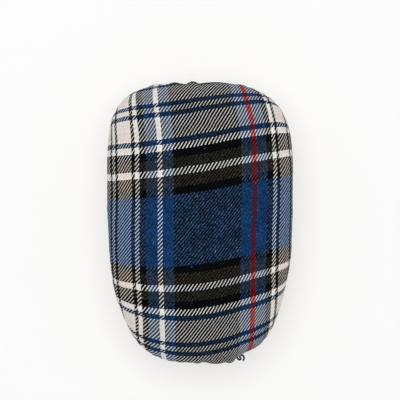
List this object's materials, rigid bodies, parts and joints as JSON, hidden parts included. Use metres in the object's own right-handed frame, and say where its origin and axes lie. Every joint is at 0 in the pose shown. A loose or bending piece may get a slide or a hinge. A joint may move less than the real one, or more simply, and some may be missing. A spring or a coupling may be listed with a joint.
{
  "type": "tailor's ham",
  "caption": "Tailor's ham: a hard egg-shaped pressing cushion with a tartan wool side and a plain cotton side, packed with sawdust",
  "frame": {"origin": "on the table, below the middle of the overall length and width, as it lies on its cotton side", "axes": "x: across the ham, y: along it towards the wide end, z: up through the wool side"},
  "size_m": [0.178, 0.27, 0.109],
  "materials": {
    "tartan_wool": "woollen 2/2 twill, check",
    "natural_cotton": "plain weave, unbleached",
    "calico": "plain weave",
    "sawdust": "packed dust",
    "sewing_thread": "spun",
    "easing_thread": "spun"
  },
  "bodies": {
    "root": {"wool_cover": "tartan_wool", "cotton_cover": "natural_cotton", "wool_side_lining": "calico", "cotton_side_lining": "calico", "sawdust_filling": "sawdust", "seam_needle_thread": "sewing_thread", "seam_bobbin_thread": "sewing_thread", "closing_thread": "sewing_thread", "wool_ease_thread_wide_end": "easing_thread", "wool_ease_thread_narrow_end": "easing_thread", "cotton_ease_thread_wide_end": "easing_thread", "cotton_ease_thread_narrow_end": "easing_thread"}
  },
  "joints": []
}
